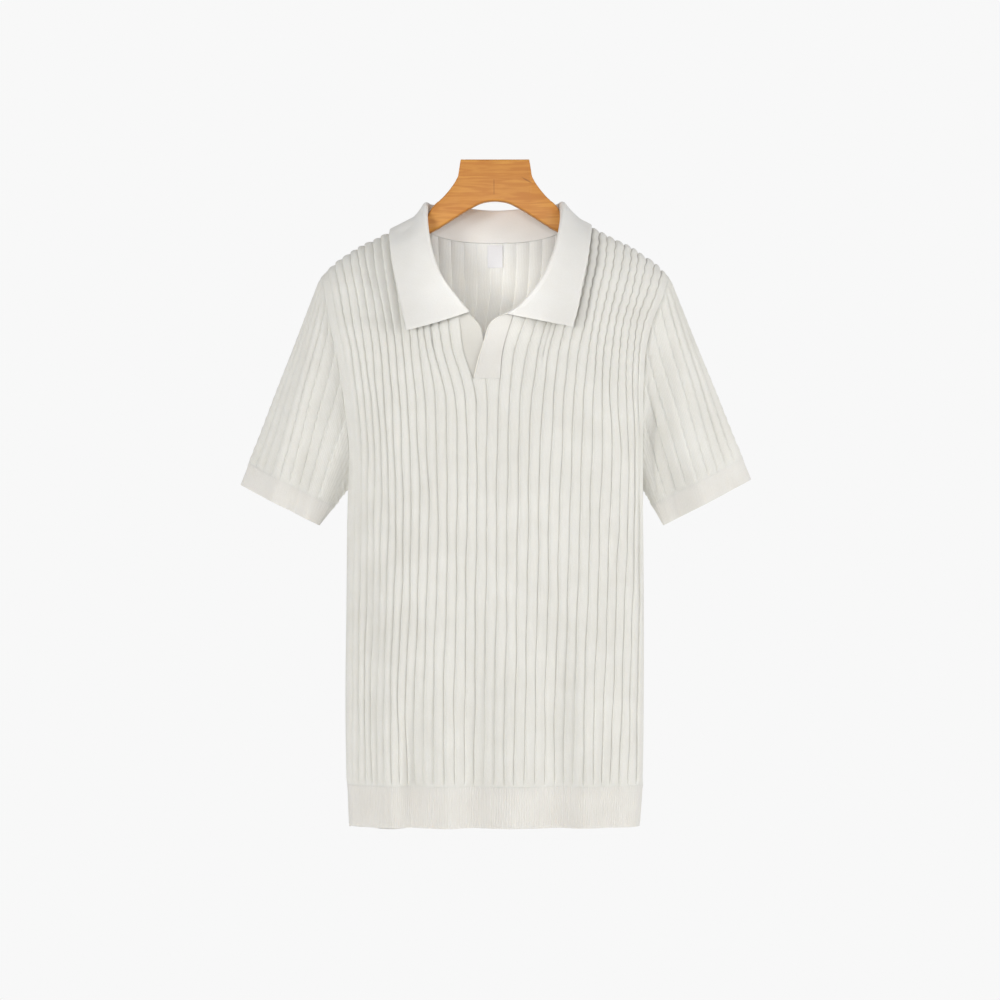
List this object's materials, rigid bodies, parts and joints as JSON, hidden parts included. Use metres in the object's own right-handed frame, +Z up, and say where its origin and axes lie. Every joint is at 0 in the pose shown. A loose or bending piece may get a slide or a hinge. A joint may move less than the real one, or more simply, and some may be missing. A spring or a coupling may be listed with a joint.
{
  "type": "rib-knit polo shirt on a wooden hanger",
  "caption": "Short-sleeved rib-knit polo shirt with an open collar and V neck, hanging on a wooden hanger with a flat head.",
  "frame": {"origin": "middle of the flat top of the hanger's head, where the hanger is held", "axes": "+X to the viewer's right, the front of the shirt faces -Y, +Z up"},
  "size_m": [0.5718, 0.1043, 0.753],
  "materials": {
    "rib_knit": "matt wide-rib knit, off white",
    "fine_knit": "matt fine knit, off white",
    "label_cloth": "smooth white woven tape",
    "wood": "orange-brown wood with a satin lacquer"
  },
  "bodies": {
    "root": {"front_panel": "rib_knit", "back_panel": "rib_knit", "sleeve_left": "rib_knit", "sleeve_right": "rib_knit", "cuff_left": "fine_knit", "cuff_right": "fine_knit", "hem_band_front": "fine_knit", "hem_band_back": "fine_knit", "collar": "fine_knit", "neck_band_left": "fine_knit", "neck_band_right": "fine_knit", "label": "label_cloth", "hanger": "wood"}
  },
  "joints": []
}
